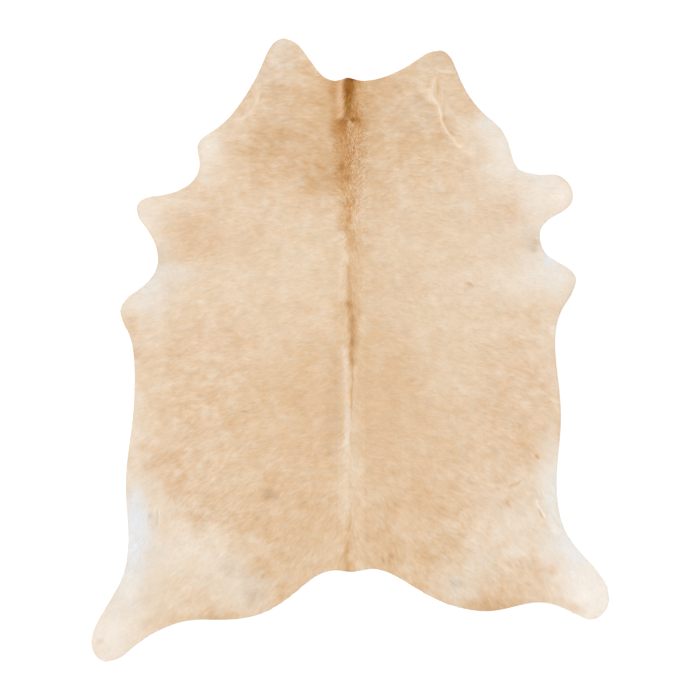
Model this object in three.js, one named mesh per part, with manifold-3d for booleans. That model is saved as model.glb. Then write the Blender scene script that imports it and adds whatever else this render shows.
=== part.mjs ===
// Cowhide rug: one whole hide with its hair on, laid flat with the hair up.
// Millimetres, +Z up and +Y towards the neck. The origin is on the floor, under the middle
// of the rug.
import * as THREE from "three";
import { mergeVertices } from "three/addons/utils/BufferGeometryUtils.js";
import Module from "manifold-3d";

const RUG_LENGTH = 2234; // tip of the neck to the tip of a hind leg
const RUG_WIDTH = 1856; // across the hind legs

const LEATHER = 2.4; // the tanned skin under the hair
const BACK_HAIR = 3.4; // depth of the coat where it lies thickest, on the back
const BELLY_HAIR = 1.7; // depth of the coat on the belly edges and the legs
const THIN_COAT_REACH = 260; // the coat thickens over this distance in from the rim

const RIM_WALL = 1.5; // height of the upright rim, which is cut leather
const RIM_ROUND = 9; // width over which the hair rounds down to the rim
const RIM_ROUND_STEPS = 2;
const RIM_TURN_STEP = 14; // most degrees of turn for one straight stretch of the rim
const RIM_LENGTH_STEP = 60; // greatest length of one straight stretch of the rim

const COAT_GRID = 42; // spacing of the points that carry the unevenness of the coat
const LUMP_HEIGHT = 0.45; // how far the coat rises and sinks in broad lumps
const LUMP_LENGTH = 310; // from one lump to the next along the back

const RIDGE_SIDES = 8; // faces round a ridge
const RIDGE_STEP = 45; // length of one step along a ridge

const BELOW_FLOOR = 12; // how far the blanks reach below the floor before they are cut

const HONEY = 0xe0c29c;

// Places on the rim, clockwise seen from the hair side. The heading is the way that the rim
// runs there, in degrees: 0 is to the right and 90 is towards the neck.
const RIM = [
  { at: "neck crest", x: -5, y: 977, heading: 0 },
  { at: "neck dip, right", x: 45, y: 966, heading: 0 },
  { at: "neck slope, right", x: 205, y: 1018, heading: 29 },
  { at: "neck tip, right", x: 325, y: 1074, heading: -8 },
  { at: "neck side, right", x: 383, y: 1000, heading: -70 },
  { at: "shoulder, right", x: 515, y: 818, heading: -37 },
  { at: "foreleg root, right", x: 574, y: 720, heading: -76 },
  { at: "foreleg crook, right", x: 615, y: 642, heading: -30 },
  { at: "foreleg front, right", x: 730, y: 630, heading: -6 },
  { at: "foreleg tip, right", x: 799, y: 550, heading: -90 },
  { at: "foreleg back, right", x: 748, y: 490, heading: -154 },
  { at: "armpit, right", x: 680, y: 413, heading: -88 },
  { at: "elbow root, right", x: 715, y: 334, heading: -36 },
  { at: "elbow tip, right", x: 810, y: 248, heading: -90 },
  { at: "elbow back, right", x: 762, y: 150, heading: -117 },
  { at: "flank top, right", x: 735, y: 20, heading: -88 },
  { at: "belly, right", x: 756, y: -240, heading: -90 },
  { at: "flank fold, right", x: 740, y: -480, heading: -90 },
  { at: "thigh front, right", x: 765, y: -635, heading: -68 },
  { at: "shank, right", x: 858, y: -760, heading: -48 },
  { at: "hind tip, right", x: 928, y: -890, heading: -90 },
  { at: "heel, right", x: 838, y: -961, heading: 156 },
  { at: "hock, right", x: 685, y: -905, heading: 179 },
  { at: "rump foot, right", x: 490, y: -937, heading: 180 },
  { at: "rump side, right", x: 340, y: -907, heading: 160 },
  { at: "tail arch, right", x: 180, y: -820, heading: 150 },
  { at: "tail root, right", x: 85, y: -785, heading: 176 },
  { at: "tail tip", x: 3, y: -796, heading: 180 },
  { at: "tail root, left", x: -50, y: -790, heading: 180 },
  { at: "tail arch, left", x: -165, y: -842, heading: -139 },
  { at: "rump side, left", x: -330, y: -949, heading: -161 },
  { at: "hock, left", x: -540, y: -967, heading: 180 },
  { at: "shank, left", x: -742, y: -1037, heading: -148 },
  { at: "heel, left", x: -873, y: -1117, heading: 180 },
  { at: "hind tip, left", x: -928, y: -1045, heading: 90 },
  { at: "shin, left", x: -880, y: -930, heading: 61 },
  { at: "thigh front, left", x: -812, y: -800, heading: 74 },
  { at: "flank low, left", x: -795, y: -680, heading: 90 },
  { at: "flank fold, left", x: -804, y: -510, heading: 92 },
  { at: "belly, left", x: -785, y: -290, heading: 82 },
  { at: "flank top, left", x: -773, y: -120, heading: 90 },
  { at: "elbow back, left", x: -790, y: 50, heading: 108 },
  { at: "elbow tip, left", x: -824, y: 135, heading: 90 },
  { at: "elbow root, left", x: -745, y: 228, heading: 38 },
  { at: "armpit, left", x: -689, y: 325, heading: 90 },
  { at: "foreleg back, left", x: -728, y: 432, heading: 125 },
  { at: "foreleg tip, left", x: -766, y: 505, heading: 90 },
  { at: "foreleg front, left", x: -700, y: 552, heading: 4 },
  { at: "foreleg root, left", x: -540, y: 672, heading: 92 },
  { at: "shoulder nick, left", x: -548, y: 725, heading: 88 },
  { at: "shoulder, left", x: -515, y: 771, heading: 32 },
  { at: "throat, left", x: -420, y: 850, heading: 52 },
  { at: "neck side, left", x: -310, y: 1037, heading: 68 },
  { at: "neck tip, left", x: -237, y: 1117, heading: 0 },
  { at: "neck dip, left", x: -52, y: 965, heading: 0 },
];

// Soft ridges on the coat: the crest where the hair of both sides meets over the spine, and
// the creases that stayed in the hide when it was stretched to dry. Each path is x and y.
const RIDGES = [
  {
    name: "spine crest",
    width: 44,
    height: 1.5,
    path: [[0, 962], [-4, 790], [2, 600], [5, 350], [3, 60], [4, -300], [-3, -782]],
  },
  {
    name: "neck crease, right",
    width: 24,
    height: 2.2,
    path: [[301, 985], [283, 913], [322, 863], [330, 813], [355, 777], [398, 725]],
  },
  {
    name: "neck fold, right",
    width: 20,
    height: 1.4,
    path: [[262, 988], [325, 993], [372, 984]],
  },
  {
    name: "neck crease, left",
    width: 18,
    height: 1.4,
    path: [[-316, 925], [-326, 874], [-352, 845]],
  },
  {
    name: "flank crease, right",
    width: 20,
    height: 1.8,
    path: [[664, -530], [681, -573], [700, -603], [738, -634]],
  },
  {
    name: "flank crease, left",
    width: 18,
    height: 1.4,
    path: [[-683, -545], [-686, -590], [-682, -630]],
  },
];

const wasm = await Module();
wasm.setup();

// One cubic curve of the rim. Its two handles make it round where both headings lean
// evenly away from the straight line between the two places.
function rimCurve(from, to) {
  const start = new THREE.Vector2(from.x, from.y);
  const end = new THREE.Vector2(to.x, to.y);
  const startHeading = THREE.MathUtils.degToRad(from.heading);
  const endHeading = THREE.MathUtils.degToRad(to.heading);
  const chord = end.clone().sub(start);
  const lean = (heading) => Math.asin(Math.sin(heading - chord.angle()));
  const turn = lean(endHeading) - lean(startHeading);
  const handle = chord.length() / (3 * Math.cos(turn / 4) ** 2);
  const out = new THREE.Vector2(handle, 0).rotateAround(new THREE.Vector2(), startHeading);
  const back = new THREE.Vector2(handle, 0).rotateAround(new THREE.Vector2(), endHeading);
  const bend = Math.abs(lean(startHeading)) + Math.abs(lean(endHeading));
  const turnSteps = Math.ceil(THREE.MathUtils.radToDeg(bend) / RIM_TURN_STEP);
  return {
    curve: new THREE.CubicBezierCurve(start, start.clone().add(out), end.clone().sub(back), end),
    steps: Math.max(turnSteps, Math.ceil(chord.length() / RIM_LENGTH_STEP)),
  };
}

// The rim as a closed row of points.
function rimPoints() {
  return RIM.flatMap((place, index) => {
    const { curve, steps } = rimCurve(place, RIM[(index + 1) % RIM.length]);
    return curve.getPoints(steps).slice(0, steps);
  });
}

const RIM_POINTS = rimPoints();

// Distance from a place on the rug to its rim.
function rimDistance(x, y) {
  let nearest = Infinity;
  RIM_POINTS.forEach((point, index) => {
    const next = RIM_POINTS[(index + 1) % RIM_POINTS.length];
    const alongX = next.x - point.x;
    const alongY = next.y - point.y;
    const share = THREE.MathUtils.clamp(
      ((x - point.x) * alongX + (y - point.y) * alongY) / (alongX ** 2 + alongY ** 2), 0, 1);
    const offX = x - point.x - alongX * share;
    const offY = y - point.y - alongY * share;
    nearest = Math.min(nearest, Math.hypot(offX, offY));
  });
  return nearest;
}

// Broad lumps from -1 to 1, which lean across the back and never line up.
function lumps(x, y) {
  const wave = (2 * Math.PI) / LUMP_LENGTH;
  const along = Math.sin(wave * (y + 0.35 * x));
  const across = Math.cos(wave * (0.8 * x - 0.3 * y) + 1.3);
  const fine = Math.sin(wave * (1.7 * x + 1.9 * y) + 0.6);
  return (along + across + fine) / 3;
}

// Height of the hair's surface over the floor.
function coatTop(x, y) {
  const thickness = THREE.MathUtils.smoothstep(rimDistance(x, y), 0, THIN_COAT_REACH);
  const hair = THREE.MathUtils.lerp(BELLY_HAIR, BACK_HAIR, thickness);
  return LEATHER + hair + LUMP_HEIGHT * lumps(x, y);
}

// A closed geometry as a solid that can be cut and joined.
function toSolid(geometry) {
  const bare = geometry.clone();
  bare.deleteAttribute("normal");
  bare.deleteAttribute("uv");
  const merged = mergeVertices(bare);
  return new wasm.Manifold(new wasm.Mesh({
    numProp: 3,
    vertProperties: new Float32Array(merged.attributes.position.array),
    triVerts: new Uint32Array(merged.index.array),
  }));
}

function toGeometry(solid) {
  const mesh = solid.getMesh();
  const geometry = new THREE.BufferGeometry();
  geometry.setAttribute("position", new THREE.BufferAttribute(mesh.vertProperties, 3));
  geometry.setIndex(new THREE.BufferAttribute(mesh.triVerts, 1));
  geometry.computeVertexNormals();
  return geometry;
}

// A stretch of hide larger than the rug, uneven on top. It reaches down below the floor.
function coatSlab() {
  const margin = 2 * COAT_GRID;
  const width = RUG_WIDTH + margin;
  const length = RUG_LENGTH + margin;
  const columns = Math.round(width / COAT_GRID);
  const rows = Math.round(length / COAT_GRID);
  const slab = new THREE.BoxGeometry(width, length, LEATHER, columns, rows, 1);
  const place = slab.attributes.position;
  for (let i = 0; i < place.count; i += 1) {
    place.setZ(i, place.getZ(i) > 0 ? coatTop(place.getX(i), place.getY(i)) : -BELOW_FLOOR);
  }
  return slab;
}

// The shape that the hide is cut to, with an upright rim that rounds over into the hair. It
// reaches down below the floor.
function rimCutter() {
  const cutter = new THREE.ExtrudeGeometry(new THREE.Shape(RIM_POINTS), {
    depth: BELOW_FLOOR + RIM_WALL,
    steps: 1,
    bevelEnabled: true,
    bevelThickness: LEATHER + BACK_HAIR + LUMP_HEIGHT,
    bevelSize: RIM_ROUND,
    bevelOffset: -RIM_ROUND,
    bevelSegments: RIM_ROUND_STEPS,
  });
  cutter.translate(0, 0, -BELOW_FLOOR);
  return cutter;
}

// The room above the floor, which gives the hide its flat underside.
function roomAboveFloor() {
  const height = 4 * (LEATHER + BACK_HAIR);
  const room = new THREE.BoxGeometry(2 * RUG_WIDTH, 2 * RUG_LENGTH, height);
  room.translate(0, 0, height / 2);
  return room;
}

// A closed ridge that swells along its path and dies out at both ends. Its middle lies in
// the coat's surface, so its upper half stands proud by the ridge's height.
function ridgeGeometry({ width, height, path }) {
  const route = new THREE.SplineCurve(path.map(([x, y]) => new THREE.Vector2(x, y)));
  const steps = Math.max(6, Math.round(route.getLength() / RIDGE_STEP));
  const points = [];
  const faces = [];
  for (let step = 0; step <= steps; step += 1) {
    const share = step / steps;
    const middle = route.getPointAt(share);
    const ahead = route.getTangentAt(share);
    const swell = Math.max(0.02, Math.min(1, 2.2 * Math.sqrt(share * (1 - share))));
    const surface = coatTop(middle.x, middle.y);
    for (let side = 0; side < RIDGE_SIDES; side += 1) {
      const angle = (2 * Math.PI * side) / RIDGE_SIDES;
      const across = (width / 2) * swell * Math.cos(angle);
      points.push(
        middle.x + ahead.y * across,
        middle.y - ahead.x * across,
        surface + height * swell * Math.sin(angle),
      );
    }
  }
  const corner = (step, side) => step * RIDGE_SIDES + (side % RIDGE_SIDES);
  for (let step = 0; step < steps; step += 1) {
    for (let side = 0; side < RIDGE_SIDES; side += 1) {
      faces.push(corner(step, side), corner(step + 1, side), corner(step, side + 1));
      faces.push(corner(step, side + 1), corner(step + 1, side), corner(step + 1, side + 1));
    }
  }
  for (let side = 1; side < RIDGE_SIDES - 1; side += 1) {
    faces.push(corner(0, 0), corner(0, side), corner(0, side + 1));
    faces.push(corner(steps, 0), corner(steps, side + 1), corner(steps, side));
  }
  const geometry = new THREE.BufferGeometry();
  geometry.setAttribute("position", new THREE.Float32BufferAttribute(points, 3));
  geometry.setIndex(faces);
  return geometry;
}

function hideGeometry() {
  const ridged = RIDGES.reduce(
    (solid, ridge) => solid.add(toSolid(ridgeGeometry(ridge))), toSolid(coatSlab()));
  const cut = ridged.intersect(toSolid(rimCutter()));
  return toGeometry(cut.intersect(toSolid(roomAboveFloor())));
}

const hide = new THREE.Mesh(
  hideGeometry(),
  new THREE.MeshStandardMaterial({ color: HONEY, roughness: 0.85, metalness: 0 }),
);
hide.name = "hide";

const rug = new THREE.Group();
rug.name = "cowhide_rug";
rug.add(hide);

export default rug;
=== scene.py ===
"""A whole cowhide rug, hair side up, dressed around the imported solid.

The rug is one skin: buffed leather below, close underhair on top of it, and over that some two
hundred thousand flat hair locks that lie away from the spine. Lengths are in metres. The tables
give millimetres, with x to the right of the spine and y towards the neck.
"""

import math
from functools import partial

import bpy
import numpy as np
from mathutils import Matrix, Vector
from mathutils.bvhtree import BVHTree
from mathutils.geometry import delaunay_2d_cdt


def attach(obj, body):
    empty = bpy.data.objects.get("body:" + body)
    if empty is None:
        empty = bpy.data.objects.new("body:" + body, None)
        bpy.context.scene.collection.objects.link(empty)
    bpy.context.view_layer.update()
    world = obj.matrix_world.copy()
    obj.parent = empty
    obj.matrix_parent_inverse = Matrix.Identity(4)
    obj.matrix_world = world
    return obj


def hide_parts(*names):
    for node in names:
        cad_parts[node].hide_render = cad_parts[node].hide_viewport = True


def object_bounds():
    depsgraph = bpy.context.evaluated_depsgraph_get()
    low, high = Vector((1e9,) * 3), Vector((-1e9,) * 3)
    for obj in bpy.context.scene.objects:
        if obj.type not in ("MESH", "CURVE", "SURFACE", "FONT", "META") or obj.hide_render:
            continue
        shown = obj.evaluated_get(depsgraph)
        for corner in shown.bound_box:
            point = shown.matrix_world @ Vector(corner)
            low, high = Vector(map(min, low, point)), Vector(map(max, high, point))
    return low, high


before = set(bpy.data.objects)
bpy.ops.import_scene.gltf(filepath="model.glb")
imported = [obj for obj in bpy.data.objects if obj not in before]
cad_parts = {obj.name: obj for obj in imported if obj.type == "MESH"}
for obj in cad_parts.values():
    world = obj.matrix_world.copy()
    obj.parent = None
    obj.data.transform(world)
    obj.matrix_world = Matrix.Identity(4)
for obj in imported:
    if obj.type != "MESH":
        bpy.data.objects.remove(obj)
CAD_LOW, CAD_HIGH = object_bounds()

MM = 0.001

# The photograph: straight down, 700 pixels across at 3.582 mm each
PHOTO_WIDTH = 700 * 3.582 * MM
LENS = 85.0
SENSOR = 36.0

# The rim, the skin and its sheet
SAME_PLACE = 1e-6  # corners of the solid that are closer than this are one
SAME_POINT = 1e-7  # and so are points of the skin
RIM_PARTS = 12  # points on the curve between two corners of the rim
RIM_STEP = 7.0 * MM
SKIN_INSET = 0.8 * MM  # hair hangs this far past the cut edge of the leather
SKIN_STEP = 7.5 * MM
FLESH_STEP = 30.0 * MM
SKIN_EDGE = 0.4  # the skin's outline is softened over this share of a step,
SKIN_INNER = 0.93  # and a point stands inside it only where it is this full
RELIEF_STEP = 6.0 * MM
COAT_STEP = 2.5 * MM
LAST_CELL = 1.001  # keeps a reading within the last cell of a grid
UNDERHAIR_PAINTED_SHADE = 0.01  # painted shade: the underhair is this much darker than the locks, for the shadow they cast on it
UNDERHAIR_STRANDS = 900  # its strands, to the metre
RIM_HEIGHT = 3.1 * MM  # the coat is at least this high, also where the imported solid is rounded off
TOP_BLUR = 6 * MM  # the coat's top is evened out over this distance,
TOP_LEAST = 0.02  # and runs on past the rim as long as this much of the solid is near
HAIR_DEPTH = 0.98 * MM  # from the top of the underhair to the top of the lying locks

# Tones of the hair, as seen under the studio light
TONES = {
    "honey": "#E7CDB0",
    "wheat": "#E9D5BC",
    "caramel": "#D9B184",
    "russet": "#DFBB98",
    "toffee": "#C08A52",
    "brown": "#8A5018",
    "cream": "#F2E8DC",
    "blue": "#EBE9E6",
    "dun": "#D8C4AE",
    "ash": "#C2AB97",
    "fawn": "#C09A74",
    "straw": "#DAB083",
    "salmon": "#E0B68D",
    "peach": "#F8E3CD",
    "mist": "#EBE9E3",
    "frost": "#E8E7E8",
    "ivory": "#F7EEE4",
    "pearl": "#E5D3C0",
    "white": "#F4F1EC",
}

# Soft patches of colour: tone, x, y, half width, half length, strength, and the lean in degrees, if any
PATCHES = [
    ("caramel", 0, -535, 395, 320, 0.34),
    ("caramel", -170, -180, 230, 180, 0.30),
    ("caramel", 160, -160, 195, 160, 0.30),
    ("toffee", -295, 740, 115, 95, 0.27),
    ("toffee", -105, 625, 95, 85, 0.30),
    ("caramel", 260, 740, 95, 105, 0.42),
    ("caramel", -135, 865, 120, 95, 0.35),
    ("toffee", 0, 790, 85, 195, 0.42),
    ("caramel", 150, 895, 135, 120, 0.30),
    ("dun", -270, 985, 48, 46, 0.80),
    ("wheat", -240, 1045, 80, 65, 0.60),
    ("cream", -515, 725, 65, 95, 0.80),
    ("cream", 550, 715, 45, 125, 0.85, -22),
    ("ivory", 750, 560, 100, 70, 0.80),
    ("cream", 640, 550, 105, 95, 0.45),
    ("cream", 675, 410, 105, 95, 0.60),
    ("cream", -750, 495, 70, 80, 0.75),
    ("russet", -545, 425, 120, 80, 0.45),
    ("russet", 430, 460, 95, 85, 0.16),
    ("wheat", -180, 360, 165, 115, 0.50),
    ("wheat", 295, 235, 215, 185, 0.60),
    ("wheat", -460, 215, 145, 80, 0.40),
    ("wheat", 360, -90, 95, 90, 0.35),
    ("blue", -725, 215, 70, 80, 0.70),
    ("blue", 740, 295, 95, 65, 0.65, 20),
    ("cream", 625, 245, 130, 80, 0.50),
    ("wheat", -800, 135, 45, 50, 0.70),
    ("cream", -730, 20, 55, 70, 0.40),
    ("russet", -665, -45, 145, 80, 0.20),
    ("russet", 580, -215, 115, 185, 0.30),
    ("caramel", 20, 90, 55, 100, 0.50),
    ("caramel", 135, -30, 100, 85, 0.25),
    ("cream", -5, -430, 26, 170, 0.30),
    ("caramel", 295, -510, 105, 80, 0.28),
    ("caramel", 280, -715, 105, 65, 0.30),
    ("caramel", -315, -680, 95, 105, 0.45),
    ("russet", -615, -385, 45, 45, 0.50),
    ("wheat", -725, -510, 85, 85, 0.60),
    ("cream", -610, -700, 145, 100, 0.60),
    ("wheat", -480, -805, 160, 105, 0.60),
    ("blue", -775, -620, 50, 125, 0.90),
    ("blue", -795, -845, 80, 160, 0.70, -25),
    ("cream", -865, -1015, 120, 95, 0.80),
    ("wheat", -680, -915, 105, 70, 0.60),
    ("blue", 815, -740, 62, 190, 0.95, 25),
    ("cream", 880, -900, 95, 85, 0.80, 20),
    ("cream", 575, -660, 130, 110, 0.50),
    ("russet", 716, -792, 46, 34, 0.70, -20),
    ("toffee", 520, -917, 100, 33, 0.46),
    ("wheat", -750, -195, 45, 145, 0.50),
    ("cream", -765, -360, 30, 80, 0.50),
    ("cream", 725, -450, 50, 105, 0.60),
    ("caramel", -222, 913, 72, 43, 0.22),
    ("dun", -244, 831, 57, 79, 0.30),
    ("cream", -420, 802, 45, 43, 0.18),
    ("cream", -616, 527, 86, 32, 0.60),
    ("cream", -691, 376, 36, 57, 0.45),
    ("blue", -616, 276, 72, 32, 0.40),
    ("russet", -767, 18, 36, 64, 0.22),
    ("cream", -773, -165, 32, 82, 0.34),
    ("caramel", -297, 605, 57, 32, 0.28),
    ("caramel", -54, 519, 43, 43, 0.35),
    ("caramel", -43, 315, 57, 50, 0.25),
    ("dun", 222, 853, 107, 79, 0.30),
    ("dun", 294, 1032, 72, 36, 0.35),
    ("cream", 466, 813, 72, 32, 0.55),
    ("cream", 616, 645, 72, 29, 0.65),
    ("russet", 587, 505, 50, 43, 0.45),
    ("dun", 641, 394, 36, 43, 0.45),
    ("caramel", 186, 233, 107, 122, 0.20),
    ("caramel", 64, 358, 32, 86, 0.30),
    ("cream", 720, 136, 29, 57, 0.25),
    ("russet", -555, -251, 47, 32, 0.40),
    ("toffee", -515, -580, 44, 50, 0.22),
    ("caramel", -315, -505, 57, 36, 0.28),
    ("russet", -616, -501, 32, 50, 0.40),
    ("cream", -537, -759, 93, 43, 0.35),
    ("cream", -369, -702, 57, 36, 0.28),
    ("mist", -416, -867, 72, 72, 0.30),
    ("caramel", -537, -960, 115, 18, 0.35),
    ("mist", 383, -853, 61, 64, 0.45),
    ("mist", 731, -516, 27, 143, 0.75),
    ("cream", 595, -537, 107, 72, 0.30),
    ("cream", 806, -867, 64, 72, 0.45),
    ("caramel", 799, -932, 34, 24, 0.50),
    ("caramel", 133, -759, 43, 29, 0.35),
    ("caramel", 47, -595, 32, 43, 0.35),
    ("caramel", -72, -340, 32, 86, 0.20),
    ("frost", -781, -727, 28, 64, 0.70),
    ("pearl", -236, 1067, 60, 71, 0.65),
    ("ivory", 853, -867, 93, 78, 0.85),
    ("ivory", 752, -795, 50, 43, 0.40),
    ("ivory", -867, -1039, 86, 78, 0.35),
    ("cream", 792, 287, 57, 43, 0.45),
    ("cream", -759, 179, 50, 46, 0.50),
    ("cream", 537, 752, 53, 46, 0.45),
    ("caramel", 68, 924, 71, 46, 0.35),
    ("caramel", 401, -623, 28, 28, 0.40),
    ("cream", 441, 745, 42, 40, 0.45),
    ("cream", 681, -706, 40, 32, 0.40),
    ("ivory", 892, -950, 40, 40, 0.95),
    ("wheat", 396, 512, 56, 38, 0.72),
    ("cream", 738, -104, 32, 42, 0.33),
    ("cream", 712, 50, 44, 60, 0.28),
    ("caramel", 555, -512, 40, 40, 0.30),
    ("russet", -523, 537, 36, 30, 0.42),
    ("toffee", -86, 969, 26, 28, 0.28),
    ("toffee", -165, 743, 50, 42, 0.20),
    ("toffee", -97, 634, 30, 36, 0.18),
    ("toffee", -5, 690, 32, 85, 0.18),
    ("toffee", 46, 905, 30, 75, 0.24),
    ("wheat", 333, -663, 38, 36, 0.45),
    ("wheat", 52, 136, 17, 52, 0.42),
    ("wheat", 401, -917, 32, 25, 0.55),
    ("wheat", 394, -383, 40, 40, 0.38),
    ("wheat", 315, -125, 45, 45, 0.50),
    ("cream", -695, -466, 30, 30, 0.35),
    ("dun", -335, -852, 45, 52, 0.50),
    ("dun", -408, -777, 36, 34, 0.42),
    ("fawn", -458, -967, 50, 22, 0.19),
    ("mist", 501, 824, 36, 30, 0.60),
    ("mist", 609, 641, 30, 26, 0.60),
    ("mist", 706, 622, 44, 30, 0.50),
    ("mist", -283, 1089, 30, 25, 0.32),
    ("mist", 487, -777, 50, 48, 0.30),
    ("caramel", -550, -170, 62, 80, 0.27),
    ("caramel", -165, -11, 45, 40, 0.33),
    ("caramel", 276, 752, 44, 44, 0.34),
    ("caramel", 118, -788, 40, 36, 0.38),
    ("caramel", -39, -781, 30, 30, 0.36),
    ("caramel", -297, -765, 40, 40, 0.28),
    ("ivory", -795, -845, 32, 45, 0.45),
    ("ivory", -885, -1105, 30, 26, 0.50),
    ("toffee", 110, 979, 34, 26, 0.34),
    ("caramel", 571, -788, 36, 36, 0.42),
    ("dun", -690, 335, 36, 40, 0.55),
    ("caramel", -215, -872, 40, 36, 0.34),
    ("caramel", 225, -838, 56, 36, 0.32),
    ("caramel", -500, -362, 45, 40, 0.26),
    ("cream", -797, -458, 26, 40, 0.45),
    ("caramel", 129, 552, 36, 36, 0.36),
    ("caramel", 118, 740, 36, 70, 0.35),
    ("caramel", -365, 401, 40, 34, 0.25),
    ("caramel", -326, 630, 40, 34, 0.33),
    ("caramel", 666, -548, 30, 26, 0.14),
    ("toffee", -60, 575, 24, 28, 0.16),
    ("toffee", -52, 713, 20, 26, 0.20),
    ("russet", -347, 949, 30, 36, 0.35),
    ("wheat", 72, 630, 26, 30, 0.30),
    ("wheat", -219, -777, 40, 36, 0.30),
    ("wheat", 487, -136, 40, 40, 0.42),
    ("cream", -781, 39, 30, 36, 0.22),
    ("cream", 781, 201, 30, 36, 0.30),
    ("cream", -759, -953, 36, 36, 0.48),
    ("mist", -691, 290, 32, 30, 0.40),
    ("mist", 670, 627, 26, 24, 0.40),
    ("caramel", -455, -967, 40, 24, 0.38),
    ("caramel", -133, 1010, 32, 28, 0.35),
    ("caramel", -269, 985, 30, 28, 0.30),
    ("caramel", -587, -229, 34, 34, 0.34),
    ("caramel", -634, -412, 32, 32, 0.35),
    ("caramel", 401, -588, 26, 24, 0.30),
    ("toffee", -258, 745, 32, 32, 0.16),
    ("toffee", 75, -684, 28, 28, 0.15),
    ("russet", -724, -383, 30, 38, 0.42),
    ("russet", -774, -29, 28, 36, 0.42),
    ("russet", -799, 93, 24, 26, 0.36),
    ("wheat", 57, 792, 18, 26, 0.45),
    ("wheat", 351, 913, 24, 26, 0.62),
    ("wheat", -97, 494, 32, 30, 0.48),
    ("cream", 426, 534, 30, 28, 0.33),
    ("cream", -820, 154, 24, 28, 0.52),
    ("ivory", 709, -724, 26, 24, 0.45),
]

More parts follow.
